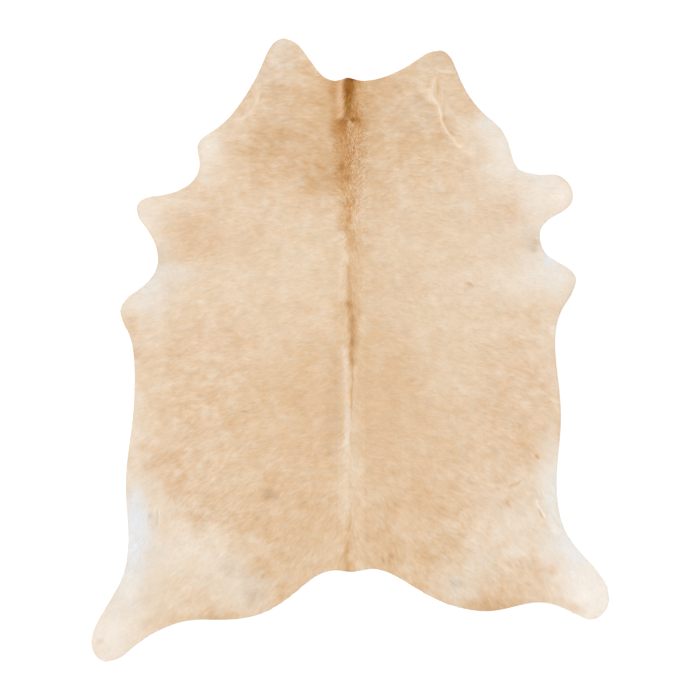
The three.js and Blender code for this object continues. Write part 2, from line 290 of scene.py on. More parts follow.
# Marks with a firm edge, along the spine and elsewhere, in the same columns
MARKS = [
    ("caramel", -14, 899, 93.1, 71.6, 0.30),
    ("toffee", -59, 930, 13.5, 40, 0.56),
    ("toffee", -59, 853, 12.9, 28.7, 0.24),
    ("toffee", -4, 946, 25.1, 35.8, 0.90),
    ("toffee", 2, 888, 25.8, 57.3, 0.80),
    ("toffee", 14, 849, 20.1, 23.3, 0.60),
    ("toffee", 32, 964, 13, 23, 0.42),
    ("toffee", 4, 762, 14, 20, 0.20),
    ("toffee", 10, 537, 11, 15, 0.22),
    ("toffee", -25, 895, 6, 26, 0.22),
    ("toffee", 6, 634, 10, 20, 0.16),
    ("brown", 8, 976, 13, 9, 0.62),
    ("toffee", 20, 968, 7, 12, 0.40),
    ("brown", -4, 971, 17.2, 6.8, 0.70),
    ("brown", -4, 946, 19.3, 32.2, 0.58),
    ("brown", -4, 906, 15.8, 32.2, 0.48),
    ("brown", -6, 867, 12.9, 28.7, 0.46),
    ("brown", -9, 913, 6.4, 60.9, 0.15),
    ("brown", 14, 938, 5.7, 17.9, 0.35),
    ("salmon", -37, 906, 9, 68.1, 0.95),
    ("salmon", -37, 845, 12.9, 20.8, 0.95),
    ("toffee", -38, 795, 25.8, 28.7, 0.72),
    # Painted shade where the hair parts in the whorl at CREST_HIGH
    ("brown", -24, 817, 15, 7.5, 0.80),
    ("brown", 7, 823, 10, 8, 0.85),
    ("brown", 24, 825, 11, 7, 0.75),
    ("toffee", 29, 812, 8.6, 9.3, 0.85),
    ("brown", -16, 838, 8, 14, 0.38),
    ("brown", -18, 795, 9.3, 21.5, 0.30),
    ("brown", -29, 654, 12.2, 12.9, 0.20),
    ("brown", -8, 620, 12, 13, 0.30),
    ("straw", 0, 804, 6.4, 17.9, 0.85),
    ("frost", -767, -613, 37.6, 86, 0.90),
    ("dun", -32, 433, 17.9, 9, 0.40),
    ("fawn", -290, -516, 23, 20, 0.50),
    # Painted highlight along the ridge of the neck crease
    ("peach", 324, 851, 5.5, 10, 0.60, 15),
    ("peach", 311, 881, 7, 5.5, 0.50, 40),
    ("peach", 333, 801, 6, 5.5, 0.62),
    ("peach", 350, 777, 7, 5, 0.60, -40),
    ("peach", 368, 761, 8, 5, 0.62, -30),
    ("peach", 391, 732, 10, 5, 0.55, -20),
    ("ash", 382, -835, 21.5, 16, 0.42),
    ("ash", -351, -888, 22, 25, 0.26),
    ("ash", 660, 370, 14, 16, 0.22),
    ("fawn", 659, 354, 9, 7, 0.50),
    ("fawn", 668, 386, 6, 10, 0.30),
    ("russet", 605, 376, 13, 11, 0.25),
    ("frost", 709, 318, 18, 18, 0.90),
    ("caramel", 425, 228, 16, 14, 0.28),
    ("toffee", 428, 241, 5, 5, 0.34),
    ("peach", 438, 241, 4.5, 5, 0.55),
    ("toffee", 434, 230, 9, 4, 0.26, -20),
    ("fawn", 414, 216, 6, 5, 0.36),
    ("brown", 148, -738, 6.5, 5.5, 0.50),
    ("brown", 117, -752, 5, 4.5, 0.32),
    ("brown", 142, -755, 5, 4, 0.30),
    ("ash", -896, -1042, 13, 9, 0.27),
    ("ash", -718, -590, 6, 5, 0.80),
    ("ash", -738, -556, 8, 3, 0.25),
    ("ash", -712, -555, 6, 3, 0.25),
    ("dun", -710, -612, 12, 22, 0.32),
    ("toffee", -378, -221, 13, 5, 0.42, 8),
    ("toffee", -423, -211, 11, 4, 0.22),
    ("toffee", -340, -222, 11, 4, 0.24),
    ("toffee", -430, -261, 6, 8, 0.24),
    ("caramel", 676, 100, 6, 10, 0.55),
    ("cream", 693, 86, 6, 9, 0.40),
    ("ivory", 726, 75, 9, 14, 0.60),
    ("salmon", -778, 92, 18, 26, 0.28),
    ("cream", -786, 127, 9, 8, 0.30),
    ("mist", -756, 168, 24, 14, 0.35),
    ("toffee", 257, -125, 9, 5, 0.24),
    ("toffee", 222, -107, 14, 10, 0.16),
    ("toffee", 245, -143, 5, 5, 0.22),
    ("toffee", 208, -129, 6, 10, 0.18),
    ("fawn", -312, -808, 8, 7, 0.60),
    ("fawn", -320, -777, 6, 5, 0.32),
    ("salmon", 727, -797, 13, 18, 0.40),
    ("salmon", 745, -853, 11, 15, 0.30),
    ("toffee", 529, -498, 9, 7, 0.26),
    ("toffee", 565, -544, 6, 5, 0.30),
    ("dun", 595, -580, 22, 18, 0.30),
    ("salmon", -725, -981, 16, 18, 0.26),
    ("salmon", 759, -892, 9, 16, 0.20),
    ("straw", 810, -924, 26, 12, 0.22, -25),
    ("mist", 734, 218, 26, 22, 0.25),
    ("toffee", 668, -377, 9.5, 5.5, 0.50, -45),
    ("toffee", 682, -588, 3.2, 14, 0.34, 29),
    ("ash", 684, -534, 4.5, 4, 0.35),
    ("ash", 693, -527, 4, 4, 0.30),
    ("ash", 684, -551, 4, 4, 0.30),
    ("salmon", -351, 919, 9, 10, 0.35),
    ("caramel", -519, 552, 14, 17, 0.40),
    ("russet", -587, 544, 24, 12, 0.32),
    ("mist", -519, 612, 22, 20, 0.30),
    ("ash", -276, -519, 14, 13, 0.29),
    ("fawn", -301, -530, 8, 9, 0.20),
    ("fawn", -285, -494, 9, 8, 0.20),
    ("fawn", -265, -527, 8, 7, 0.22),
]

# Streaks along the spine: tone, half width, strength, and the places that the line runs through
SPINE = [
    ("toffee", 9, 0.30, ((-11, 430), (-5, 358))),
    ("toffee", 22.9, 0.60, ((-36, 795), (-34, 716), (-30, 638), (-26, 605))),
    ("toffee", 17, 0.34, ((-18, 585), (-7, 523))),
    ("toffee", 10.7, 0.40, ((-20, 810), (-18, 716), (-14, 623))),
    ("toffee", 21.5, 0.36, ((21, 810), (21, 716), (18, 623), (14, 530))),
    ("straw", 9, 0.50, ((21, 800), (24, 738), (24, 670), (18, 610), (28, 565))),
    ("toffee", 6.5, 0.42, ((-10, 765), (-8, 700), (-5, 640), (0, 610))),
    ("toffee", 9, 0.34, ((5, 562), (6, 520))),
    ("caramel", 16.5, 0.80, ((-5, 587), (-5, 484), (-13, 433))),
    ("toffee", 8.6, 0.42, ((-5, 527), (-10, 458), (-14, 428))),
    ("toffee", 13, 0.27, ((-29, 522), (-30, 490), (-37, 448))),
    # Painted shade where the hair parts at CREST_LOW
    ("toffee", 14, 0.56, ((9, 415), (11, 369))),
    ("caramel", 15, 0.55, ((4, 408), (13, 315), (11, 179))),
    ("caramel", 21.5, 0.32, ((30, 440), (32, 315), (22, 245))),
    ("caramel", 16, 0.16, ((21, 179), (21, 18))),
    ("toffee", 9.5, 0.36, ((-5, 295), (-3, 240), (1, 179))),
    ("brown", 8, 0.38, ((-7, 163), (-2, 154))),
    ("caramel", 6, 0.50, ((-38, 160), (-14, 157))),
    ("toffee", 14.5, 0.54, ((4, 150), (8, 90), (9, 25))),
    ("toffee", 8.6, 0.64, ((6, 25), (5, -21), (3, -54))),
    ("brown", 5, 0.14, ((8, 115), (9, 29))),
    ("toffee", 3.2, 0.45, ((5, -57), (8, -107), (5, -179), (6, -208))),
    ("caramel", 2.5, 0.45, ((4, -215), (4, -322))),
    ("caramel", 2.9, 0.60, ((2, -441), (2, -519))),
    ("caramel", 3.2, 0.60, ((1, -548), (3, -609))),
    ("toffee", 4.3, 0.35, ((1, -613), (-4, -648))),
    ("caramel", 16.1, 0.42, ((-9, -652), (-12, -774))),
    ("toffee", 8.2, 0.34, ((-8, -690), (-12, -722), (-22, -745), (-16, -766), (-10, -795))),
    ("toffee", 4.5, 0.34, ((-10, -776), (-7, -797))),
    ("wheat", 10, 0.18, ((-28, 394), (-28, 179))),
    ("wheat", 4, 0.25, ((-14, 147), (-14, 30))),
    ("wheat", 4.5, 0.34, ((-6, 44), (-6, 14))),
    ("wheat", 8, 0.52, ((-22, 22), (-20, -36))),
    ("cream", 10.5, 0.43, ((-15, -7), (-15, -179), (-12, -335))),
    ("fawn", 26, 0.17, ((-58, 5), (-58, -225))),
    ("ash", 28, 0.15, ((-62, -250), (-60, -345))),
    ("cream", 7.2, 0.20, ((-6, -179), (-5, -358))),
    ("cream", 9, 0.14, ((18, -72), (20, -322), (20, -430))),
    ("wheat", 23.3, 0.40, ((-18, -394), (-18, -573))),
    ("wheat", 19, 0.45, ((25, -394), (27, -537))),
]

# Creases, where the hair turns to run along them: the same columns. Their pale lines are painted highlight
# on the ridge of each crease, and their darker lines painted shade in and beside it
CREASES = [
    ("caramel", 5.7, 0.45, ((317, 989), (315, 953), (313, 910))),
    ("caramel", 5, 0.45, ((331, 885), (338, 853))),
    ("peach", 3.6, 0.85, ((304, 976), (302, 963), (293, 943), (288, 931))),
    ("peach", 3.2, 0.55, ((269, 932), (288, 931))),
    ("peach", 3.2, 0.60, ((281, 910), (297, 903))),
    ("peach", 7.2, 0.72, ((288, 926), (291, 912), (301, 890))),
    ("peach", 3.8, 0.80, ((296, 896), (307, 887), (318, 873), (325, 855), (327, 840))),
    ("peach", 3.4, 0.72, ((327, 840), (326, 824), (331, 806), (340, 795), (351, 775))),
    ("peach", 3.8, 0.52, ((351, 775), (363, 766), (376, 752), (385, 735), (402, 729))),
    ("peach", 4.3, 0.70, ((408, 715), (433, 715))),
    ("cream", 6.4, 0.50, ((321, 996), (352, 997))),
    ("cream", 3.6, 0.22, ((352, 997), (378, 993))),
    ("caramel", 3.6, 0.45, ((315, 989), (373, 986))),
    ("cream", 7.2, 0.40, ((-333, 946), (-326, 903), (-340, 874), (-362, 849), (-387, 827))),
    ("cream", 3.2, 0.90, ((-684, -575), (-681, -592), (-684, -614))),
    ("ash", 4.3, 0.35, ((-690, -577), (-688, -600), (-692, -614))),
    ("white", 3.6, 0.90, ((666, -541), (675, -562), (695, -595))),
    ("white", 5.7, 0.35, ((695, -595), (716, -623), (741, -648))),
    ("caramel", 6.1, 0.55, ((584, -326), (616, -344), (648, -362))),
    ("toffee", 5.4, 0.20, ((656, -365), (673, -383))),
    ("caramel", 5.4, 0.50, ((570, -494), (587, -484), (605, -473))),
]

# A spot or a line is half gone, exp(-0.7), at its half width; a higher power gives it firmer shoulders
HALVING = 0.7
SPOT_POWER = 1.1
MARK_POWER = 1.6
LINE_POWER = 2.2

# Edges wander with the hair: size of the waves and how far they move an edge, both in mm
DRIFTS = [(14, 5), (30, 7)]
PATCH_DRIFT = (1.0, 1.0)  # patches go all the way with it, in x and y, and the rest a part of the way
MARK_DRIFT = (0.10, 0.25)
STREAK_DRIFT = 0.2

# Streaks and creases are broken up: size of the breaks, mean strength, how much it varies, the least of it
BREAK_SIZE = 8 * MM
BREAK_MEAN = 0.9
BREAK_SPREAD = 0.15
BREAK_LEAST = 0.4

# Mottling in the hair: size of the flecks in mm, and how many steps of 255 they vary by
MOTTLES = [(2.5, 6.2), (5, 5.0), (10, 4.4), (20, 3.7), (40, 2.9), (80, 1.2)]
MOTTLE_TONE = np.array([-0.27, -0.54, -0.80])  # darker flecks lose blue first,
STRAND_TONE = np.array([-0.38, -0.57, -0.80])  # and so do darker locks
DRAG = 3 * MM  # the flecks are smeared this far along the hair
DRAG_STEPS = 3
PALEST = 0.86  # hair with this much blue is mottled least, PALE_LEAST of the full strength,
PALE_SPAN = 0.20  # and hair with this much less blue has all of it
PALE_LEAST = 0.35
DARK = 0.45  # a colour darker than this varies less, down to DARK_LEAST of its full spread
DARK_LEAST = 0.35

# Redder hair beside greyer hair: size and steps in the same way
GREYINGS = [(3, 1.3), (6, 1.0), (16, 0.7)]
GREYING_TONE = np.array([-0.90, -0.20, 0.40])

# Finishes of the hair: roughness and gloss
HAIR_GLOSS = 0.28
FINISHES = {
    "short_cow_hair": (0.58, HAIR_GLOSS),  # clean and combed: a soft, broad sheen along each lock
    "fine_crest_hair": (0.58, 0.15),  # fine and more upright, so it shines less
    "cow_underhair": (0.66, HAIR_GLOSS),  # close and soft, and seen only between the locks
}
GLOSS_LIFT = np.array([0.034, 0.030, 0.027])  # the light that gloss and neighbouring hair add to a tone
LOCK_SHADE = 1.066  # how bright a fully white lock would show, lit and shaded by its neighbours

# Where the mottling is stronger or weaker: x, y, half width, half length, change
LIVELINESS = [
    (-240, 1020, 120, 110, 0.5),
    (-280, 700, 170, 160, 0.2),
    (320, 760, 150, 170, 0.3),
    (-590, -150, 220, 260, 0.3),
    (590, -180, 190, 260, 0.2),
    (-560, -680, 190, 160, 0.65),
    (540, -700, 190, 160, 0.65),
    (0, 250, 420, 230, -0.15),
    (-180, -200, 200, 200, -0.25),
    (230, -200, 200, 200, -0.40),
    (745, 560, 110, 70, -0.3),
    (-860, -1000, 110, 120, -0.2),
]

# Where neighbouring locks differ in tone, light straw beside dark: the same columns
STRANDS = [
    (5, 890, 34, 70, 7.0),
    (14, 690, 30, 120, 10.0),
    (-30, 690, 30, 120, 2.5),
    (5, 480, 34, 110, 5.0),
    (5, 100, 22, 250, 3.0),
    (0, -400, 20, 350, 1.2),
]

# Which way the hair lies on the right half, at each y and at these x, and mirrored on the left half:
# in degrees, 0 away from the spine and negative towards the tail
LIE_X = (130, 300, 470, 620, 800)
LIE = [
    (960, (-5, 5, 0, 0, 0)),
    (800, (5, 0, -8, 0, 0)),
    (600, (16, -3, -2, -4, -3)),
    (400, (-8, -10, -10, -12, -8)),
    (200, (-8, -10, -10, -20, -12)),
    (0, (-10, -12, -14, -15, -22)),
    (-200, (-10, -13, -16, -22, -24)),
    (-400, (-20, -28, -30, -38, -36)),
    (-600, (-45, -33, -35, -46, -62)),
    (-800, (-65, -40, -42, -44, -50)),
    (-960, (-60, -45, -42, -42, -46)),
]
LIE_INSIDE = 0.001  # keeps a reading within the last cell of this table
SWIRLS = [(9, 6.0), (28, 5.0)]  # unevenness in the lie: its size in mm, and how many degrees
CREST_MIDDLE = 5 * MM
CREST_REACH = 34 * MM  # beside the spine the hair runs along it,
CREST_OUT = 0.25  # and leans this much away from it
CREST_POWER = 4  # how firmly the crest ends on either side
CREST_LOW = 395 * MM  # here it parts: up towards the neck, down towards the tail
PARTING_TURN = 5 * MM  # it has turned within this distance of the parting,
PARTING_WAVE = 6 * MM  # which waves with this size
PARTING_WANDER = 15 * MM  # and by this much
CREST_HIGH = 824 * MM  # here it meets the hair of the neck, in a dark whorl,
WHORL_TURN = 10 * MM  # and has turned within this distance
CREASE_LIE = 7  # how far beside a crease the hair still runs along it, in mm

# The three kinds of hair lock: sizes in mm, angles in degrees
GROUND = {
    "length": (14, 21),
    "width": (3.6, 4.8),
    "thick": (0.12, 0.20),
    "rise": (0.3, 1.2),
    "roll": 3,
    "sway": 14,
    "sunk": 1.05,
    "tone": 4.2,
    "finish": "short_cow_hair",
}
GUARD = {
    "length": (16, 24),
    "width": (2.0, 3.0),
    "thick": (0.12, 0.20),
    "rise": (0.4, 1.3),
    "roll": 3,
    "sway": 13,
    "sunk": 0.85,
    "tone": 5.0,
    "finish": "short_cow_hair",
}
CREST = {
    "length": (9, 14),
    "width": (1.7, 2.5),
    "thick": (0.12, 0.20),
    "rise": (0.4, 1.6),
    "roll": 4,
    "sway": 12,
    "sunk": 0.70,
    "tone": 3.5,
    "finish": "fine_crest_hair",
}
WAIST = 0.42  # a lock is widest at this share of its length
OWN_TILT = 0.30  # how much of a lock's own slant its shading shows
BEND = 0.06  # how far its shading turns away from root and tip,
ROUNDNESS = 0.10  # and from its two sides
TIP_PALER = 2.0  # a tip is so many steps of 255 paler than the place it lies on, and a root darker
CUTS = (0.8, 0.6, 0.4, 0.2, 0.05)  # a lock that reaches past the rim is cut to one of these shares
RIM_BLUR = 2 * MM  # the inside of the rim is softened over this distance,
RIM_LIMIT = 0.42  # and ends where this much of it is left
LOWEST = 0.3 * MM  # no hair comes closer to the floor

# Where a lock's root, tip and two sides lie in the noise of its strands, each lock somewhere in its depth
LOCK_NOISE = [(0, 0), (0, 1.6), (-2.2, 0.7), (2.2, 0.7)]
NOISE_DEPTH = 900
MAP_COLUMNS = 256  # cells in a row of the map of the locks

# Each coat piece: name, the kind of lock, how many, its lowest and highest x, on creases only or not
COAT = [
    ("ground_hair_left", GROUND, 38_000, -1000, 0, False),
    ("ground_hair_right", GROUND, 38_000, 0, 1000, False),
    ("guard_hair_left", GUARD, 47_000, -1000, 0, False),
    ("guard_hair_right", GUARD, 47_000, 0, 1000, False),
    ("crease_hair", CREST, 42_000, -1000, 1000, True),
]
CREST_HAIR = 45 * MM  # the crest's short, fine hair is this wide to either side
CREASE_HAIR = 12 * MM  # and that of a crease this much wider than its line

# The studio
FLOOR_RADIUS = 30  # in metres, so that its edge is out of sight
FLOOR_SIDES = 48
FLOOR_TONE = (0.96, 0.96, 0.96, 1)
SKY_TONE = (1, 1, 1, 1)
SKY_STRENGTH = 0.85

SEED = 7


def srgb(tone):
    """A named tone's red, green and blue, from 0 to 1, as they are written."""
    hexes = TONES.get(tone, tone)
    return np.array([int(hexes[i : i + 2], 16) / 255 for i in (1, 3, 5)])


def to_linear(colour):
    """Turns written red, green and blue into linear light."""
    colour = np.clip(colour, 0.0, 1.0)
    return np.where(colour <= 0.04045, colour / 12.92, ((colour + 0.055) / 1.055) ** 2.4)


def hair_albedo(written, gloss):
    """The hair's own colour that shows as the written one, once gloss and shade between locks are on it."""
    lift = GLOSS_LIFT * gloss / HAIR_GLOSS
    return np.clip((to_linear(written) - lift) / LOCK_SHADE, 0.0, 1.0)


def colour_depth(written):
    """How much of each colour there is to vary: all of it in pale hair, and less in dark hair."""
    return np.clip(written / DARK, DARK_LEAST, 1.0)


def add(tree, kind, inputs=None, **settings):
    """Adds one node with its settings, and gives or links the sockets named in inputs."""
    made = tree.nodes.new(kind)
    for name, value in settings.items():
        setattr(made, name, value)
    for socket, value in (inputs or {}).items():
        if isinstance(value, bpy.types.NodeSocket):
            tree.links.new(value, made.inputs[socket])
        else:
            made.inputs[socket].default_value = value
    return made


class Chart:
    """A grid of values over the hide, seen from above."""

    def __init__(self, step, margin=0.03):
        self.step = step
        self.low = (CAD_LOW.x - margin, CAD_LOW.y - margin)
        columns = math.ceil((CAD_HIGH.x + margin - self.low[0]) / step)
        rows = math.ceil((CAD_HIGH.y + margin - self.low[1]) / step)
        self.x, self.y = np.meshgrid(
            self.low[0] + step * np.arange(columns), self.low[1] + step * np.arange(rows)
        )

    def read(self, field, x, y):
        """The field's values at the points, between the grid's own."""
        rows, columns = field.shape[:2]
        across = np.clip((x - self.low[0]) / self.step, 0, columns - LAST_CELL)
        along = np.clip((y - self.low[1]) / self.step, 0, rows - LAST_CELL)
        i, j = along.astype(int), across.astype(int)
        v, u = along - i, across - j
        if field.ndim == 3:
            v, u = v[..., None], u[..., None]
        near = field[i, j] * (1 - u) + field[i, j + 1] * u
        far = field[i + 1, j] * (1 - u) + field[i + 1, j + 1] * u
        return near * (1 - v) + far * v

    def blur(self, field, size):
        """The field softened over a distance."""
        down = np.fft.fftfreq(field.shape[0], self.step)[:, None]
        across = np.fft.rfftfreq(field.shape[1], self.step)[None, :]
        soft = np.exp(-2 * (math.pi * size) ** 2 * (down**2 + across**2))
        return np.fft.irfft2(np.fft.rfft2(field) * soft, s=field.shape)

    def mottle(self, rng, size):
        """Random flecks of one size, with a spread of 1."""
        grain = rng.standard_normal(self.x.shape)
        flecks = self.blur(grain, size) - self.blur(grain, 2 * size)
        return flecks / flecks.std()

    def drag(self, field, lie):
        """The field smeared along the way the hair lies."""
        smeared = field.copy()
        for way in (1, -1):
            x, y = self.x, self.y
            for _ in range(DRAG_STEPS):
                heading = self.read(lie, x, y)
                x = x + way * DRAG / DRAG_STEPS * heading[..., 0]
                y = y + way * DRAG / DRAG_STEPS * heading[..., 1]
                smeared += self.read(field, x, y)
        return smeared / smeared.std()

    def fill(self, ring):
        """1 inside the ring and 0 outside it."""
        crossings = np.zeros(self.x.shape)
        for (ax, ay), (bx, by) in zip(ring, np.roll(ring, -1, axis=0)):
            first = math.ceil((min(ay, by) - self.low[1]) / self.step)
            last = math.ceil((max(ay, by) - self.low[1]) / self.step)
            rows = np.arange(first, last)
            if len(rows):
                y = self.low[1] + rows * self.step
                x = ax + (bx - ax) * (y - ay) / (by - ay)
                columns = np.ceil((x - self.low[0]) / self.step).astype(int)
                crossings[rows, columns] += 1
        return np.cumsum(crossings, axis=1) % 2


def floor_ring(node):
    """The solid's outline on the floor: a ring of points, counter-clockwise from above."""
    co = np.array([v.co for v in node.data.vertices])
    places, index = np.unique(np.round(co / SAME_PLACE).astype(int), axis=0, return_inverse=True)
    index = index.reshape(-1)
    edges = set()
    for face in node.data.polygons:
        corners = [int(index[v]) for v in face.vertices]
        if all(places[c][2] == 0 for c in corners):
            edges |= set(zip(corners, corners[1:] + corners[:1]))
    after = {b: a for a, b in edges if (b, a) not in edges}
    ring = [next(iter(after))]
    while after[ring[-1]] != ring[0]:
        ring.append(after[ring[-1]])
    return places[ring][:, :2] * SAME_PLACE


def smooth_ring(ring, step):
    """A smooth curve through the ring's points, with a point at each step along it."""
    before, after, beyond = (np.roll(ring, k, axis=0) for k in (1, -1, -2))
    t = np.linspace(0, 1, RIM_PARTS, endpoint=False)[None, :, None]
    p0, p1, p2, p3 = (p[:, None, :] for p in (before, ring, after, beyond))
    curve = 0.5 * (
        2 * p1
        + (p2 - p0) * t
        + (2 * p0 - 5 * p1 + 4 * p2 - p3) * t**2
        + (3 * p1 - p0 - 3 * p2 + p3) * t**3
    )
    curve = curve.reshape(-1, 2)
    closed = np.vstack([curve, curve[:1]])
    along = np.r_[0, np.cumsum(np.linalg.norm(np.diff(closed, axis=0), axis=1))]
    stops = np.linspace(0, along[-1], round(along[-1] / step), endpoint=False)
    return np.column_stack([np.interp(stops, along, closed[:, k]) for k in (0, 1)])


def drawn_in(ring, distance):
    """The ring moved inwards by a distance."""
    run = np.roll(ring, -1, axis=0) - np.roll(ring, 1, axis=0)
    run /= np.linalg.norm(run, axis=1)[:, None]
    return ring + distance * np.column_stack([-run[:, 1], run[:, 0]])


def coat_height(chart, node, ring):
    """How high the solid's top is above the floor, as a field that runs on past the rim."""
    mesh = node.data
    solid = BVHTree.FromPolygons(
        [v.co for v in mesh.vertices], [tuple(p.vertices) for p in mesh.polygons]
    )
    inside = chart.fill(ring)
    height = np.zeros(chart.x.shape)
    down = Vector((0, 0, -1))
    for i, j in zip(*np.nonzero(inside)):
        hit = solid.ray_cast(Vector((chart.x[i, j], chart.y[i, j], 1)), down)[0]
        if hit is None:
            inside[i, j] = 0
        else:
            height[i, j] = hit.z
    weight = chart.blur(inside, TOP_BLUR)
    even = chart.blur(height * inside, TOP_BLUR) / np.maximum(weight, TOP_LEAST)
    return np.maximum(np.where(weight > TOP_LEAST, even, 0), RIM_HEIGHT)


def table_heading(chart):
    """The direction that the table gives for each spot, in between its rows and columns."""
    rows = sorted(LIE)
    heights = np.array([row[0] for row in rows])
    headings = np.radians(np.array([row[1] for row in rows]))
    out = np.clip(np.abs(chart.x) / MM, LIE_X[0], LIE_X[-1] - LIE_INSIDE)
    up = np.clip(chart.y / MM, heights[0], heights[-1] - LIE_INSIDE)
    i = np.searchsorted(heights, up, side="right") - 1
    j = np.searchsorted(LIE_X, out, side="right") - 1
    v = (up - heights[i]) / (heights[i + 1] - heights[i])
    u = (out - np.take(LIE_X, j)) / (np.take(LIE_X, j + 1) - np.take(LIE_X, j))
    near = headings[i, j] * (1 - u) + headings[i, j + 1] * u
    far = headings[i + 1, j] * (1 - u) + headings[i + 1, j + 1] * u
    return near * (1 - v) + far * v


def lie_of_hair(chart, rng):
    """Which way the hair lies at each spot, as a field of directions."""
    heading = table_heading(chart)
    for size, degrees in SWIRLS:
        heading += np.radians(degrees) * chart.mottle(rng, size * MM)
    past_parting = chart.y - CREST_LOW + PARTING_WANDER * chart.mottle(rng, PARTING_WAVE)
    parted = np.tanh(past_parting / PARTING_TURN) - np.tanh((chart.y - CREST_HIGH) / WHORL_TURN)
    crest = np.exp(-((np.abs(chart.x - CREST_MIDDLE) / CREST_REACH) ** CREST_POWER))
    side = np.where(chart.x < CREST_MIDDLE, -1.0, 1.0)
    x = side * (np.cos(heading) * (1 - crest) + CREST_OUT * crest)
    y = np.sin(heading) * (1 - crest) + (parted - 1) * crest
    for _, half_width, _, places in CREASES:
        line, run_x, run_y = soft_line(chart.x, chart.y, places, (half_width + CREASE_LIE) * MM)
        x += (run_x - x) * line
        y += (run_y - y) * line
    size = np.hypot(x, y)
    return np.stack([x / size, y / size], axis=-1)


def soft_spot(dx, dy, half_width, half_length, lean=0, power=SPOT_POWER):
    """A round-shouldered spot: 1 in its middle, half gone at its half width and half length."""
    turn = math.radians(lean)
    across = (dx * math.cos(turn) + dy * math.sin(turn)) / (half_width * MM)
    along = (dy * math.cos(turn) - dx * math.sin(turn)) / (half_length * MM)
    return np.exp(-HALVING * (across**2 + along**2) ** power)


def soft_line(x, y, places, half_width):
    """A soft line through the places: 1 on it and half gone at its half width, and the way it runs."""
    places = np.array(places) * MM
    away = np.full(x.shape, np.inf)
    run_x, run_y = np.zeros(x.shape), np.zeros(x.shape)
    for start, end in zip(places, places[1:]):
        run = end - start
        length = math.hypot(*run)
        share = np.clip(((x - start[0]) * run[0] + (y - start[1]) * run[1]) / length**2, 0, 1)
        gap = np.hypot(x - start[0] - share * run[0], y - start[1] - share * run[1])
        nearer = gap < away
        away[nearer] = gap[nearer]
        run_x[nearer] = run[0] / length
        run_y[nearer] = run[1] / length
    return np.exp(-HALVING * (away / half_width) ** LINE_POWER), run_x, run_y


def spots(chart, table):
    """The changes of a table of spots, added up from 1."""
    total = np.ones(chart.x.shape)
    for x, y, half_width, half_length, change in table:
        total += change * soft_spot(chart.x - x * MM, chart.y - y * MM, half_width, half_length)
    return total


def creases(chart):
    """1 on the crest and along every crease, where the hair is short and fine."""
    field = np.exp(-HALVING * (np.abs(chart.x - CREST_MIDDLE) / CREST_HAIR) ** CREST_POWER)
    for _, half_width, _, places in CREASES:
        line = soft_line(chart.x, chart.y, places, half_width * MM + CREASE_HAIR)[0]
        field = np.maximum(field, line)
    return field


def lay_tone(colours, tone, cover):
    """Lays a tone over a field of colours, where it covers them and as far as it does."""
    colours += (srgb(tone) - colours) * cover[..., None]


def coat_colours(chart, lie, rng):
    """The hair's colour at each spot, as it is written: patches, marks and streaks, with painted highlight
    and shade along the creases, then mottling.
    """
    drift = [sum(far * MM * chart.mottle(rng, size * MM) for size, far in DRIFTS) for _ in "xy"]
    colours = np.broadcast_to(srgb("honey"), chart.x.shape + (3,)).copy()
    for table, loose, power in ((PATCHES, PATCH_DRIFT, SPOT_POWER), (MARKS, MARK_DRIFT, MARK_POWER)):
        for tone, x, y, half_width, half_length, strength, *lean in table:
            dx = chart.x + loose[0] * drift[0] - x * MM
            dy = chart.y + loose[1] * drift[1] - y * MM
            spot = soft_spot(dx, dy, half_width, half_length, *lean, power=power)
            lay_tone(colours, tone, strength * spot)
    wavy = [chart.x + STREAK_DRIFT * drift[0], chart.y + STREAK_DRIFT * drift[1]]
    broken = np.clip(BREAK_MEAN + BREAK_SPREAD * chart.mottle(rng, BREAK_SIZE), BREAK_LEAST, 1.0)
    # The creases' lines are painted highlight and painted shade
    for tone, half_width, strength, places in SPINE + CREASES:
        lay_tone(colours, tone, strength * broken * soft_line(*wavy, places, half_width * MM)[0])
    depth = np.clip((PALEST - colours[..., 2]) / PALE_SPAN, PALE_LEAST, 1.0)
    lively = spots(chart, LIVELINESS) * depth
    for size, spread in MOTTLES:
        flecks = lively * chart.drag(chart.mottle(rng, size * MM), lie)
        colours += spread / 255 * flecks[..., None] * MOTTLE_TONE * colour_depth(colours)
    for size, spread in GREYINGS:
        colours += spread / 255 * chart.mottle(rng, size * MM)[..., None] * GREYING_TONE
    return colours


class Hide:
    """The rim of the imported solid, and what the coat has to know at each place inside it."""

    def __init__(self, node, rng):
        relief, coat = Chart(RELIEF_STEP), Chart(COAT_STEP)
        self.rim = smooth_ring(floor_ring(node), RIM_STEP)
        height = coat_height(relief, node, self.rim)
        slope = np.stack(np.gradient(height, relief.step)[::-1], axis=-1)
        lie = lie_of_hair(coat, rng)
        # Each of these takes x and y, and gives what there is at those places
        self.height = partial(relief.read, height)
        self.slope = partial(relief.read, slope)
        self.inside = partial(coat.read, coat.blur(coat.fill(self.rim), RIM_BLUR))
        self.lie = partial(coat.read, lie)
        self.colour = partial(coat.read, coat_colours(coat, lie, rng))
        self.unevenness = partial(coat.read, spots(coat, STRANDS))
        self.creased = partial(coat.read, creases(coat))


